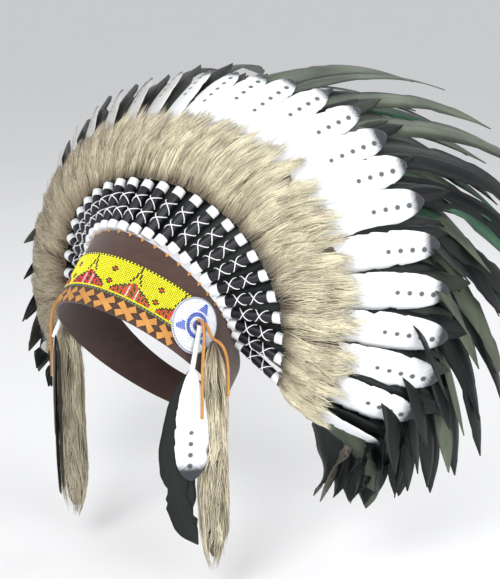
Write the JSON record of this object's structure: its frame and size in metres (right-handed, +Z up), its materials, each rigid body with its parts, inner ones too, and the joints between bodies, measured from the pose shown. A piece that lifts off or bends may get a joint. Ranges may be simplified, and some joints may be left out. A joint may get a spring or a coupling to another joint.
{
  "type": "feathered headdress",
  "caption": "Headdress of white and dark feathers on wrapped quills round a suede headband, with a fur ruff, a beaded brow strip, rosettes and hanging fur and feather drops.",
  "frame": {"origin": "centre of the headband's oval at its lower edge, where the band sits on a head", "axes": "+Z up with the band's brow raised as worn, the wearer faces -Y, +X is the wearer's left"},
  "size_m": [0.577, 0.4114, 0.4267],
  "materials": {
    "suede": "matt suede",
    "thong_leather": "tan buckskin",
    "yellow_beads": "opaque seed beads",
    "white_beads": "opaque seed beads",
    "feather": "feather barbs",
    "fur": "long fur"
  },
  "bodies": {
    "root": {"headband": "suede", "brow_beadwork": "yellow_beads", "edge_lacing": "thong_leather", "rosette_left": "white_beads", "rosette_right": "white_beads", "fur_ruff": "fur", "fur_tail_left": "fur", "fur_tail_right": "fur", "drop_feathers_left": "feather", "drop_feathers_right": "feather", "plume_01": "feather", "plume_02": "feather", "plume_03": "feather", "plume_04": "feather", "plume_05": "feather", "plume_06": "feather", "plume_07": "feather", "plume_08": "feather", "plume_09": "feather", "plume_10": "feather", "plume_11": "feather", "plume_12": "feather", "plume_13": "feather", "plume_14": "feather", "plume_15": "feather", "plume_16": "feather", "plume_17": "feather", "plume_18": "feather", "plume_19": "feather", "plume_20": "feather", "plume_21": "feather", "plume_22": "feather", "plume_23": "feather", "plume_24": "feather", "plume_25": "feather", "plume_26": "feather", "plume_27": "feather", "thong_left_front": "thong_leather", "thong_left_rear": "thong_leather", "thong_right_front": "thong_leather", "thong_right_rear": "thong_leather"}
  },
  "joints": []
}
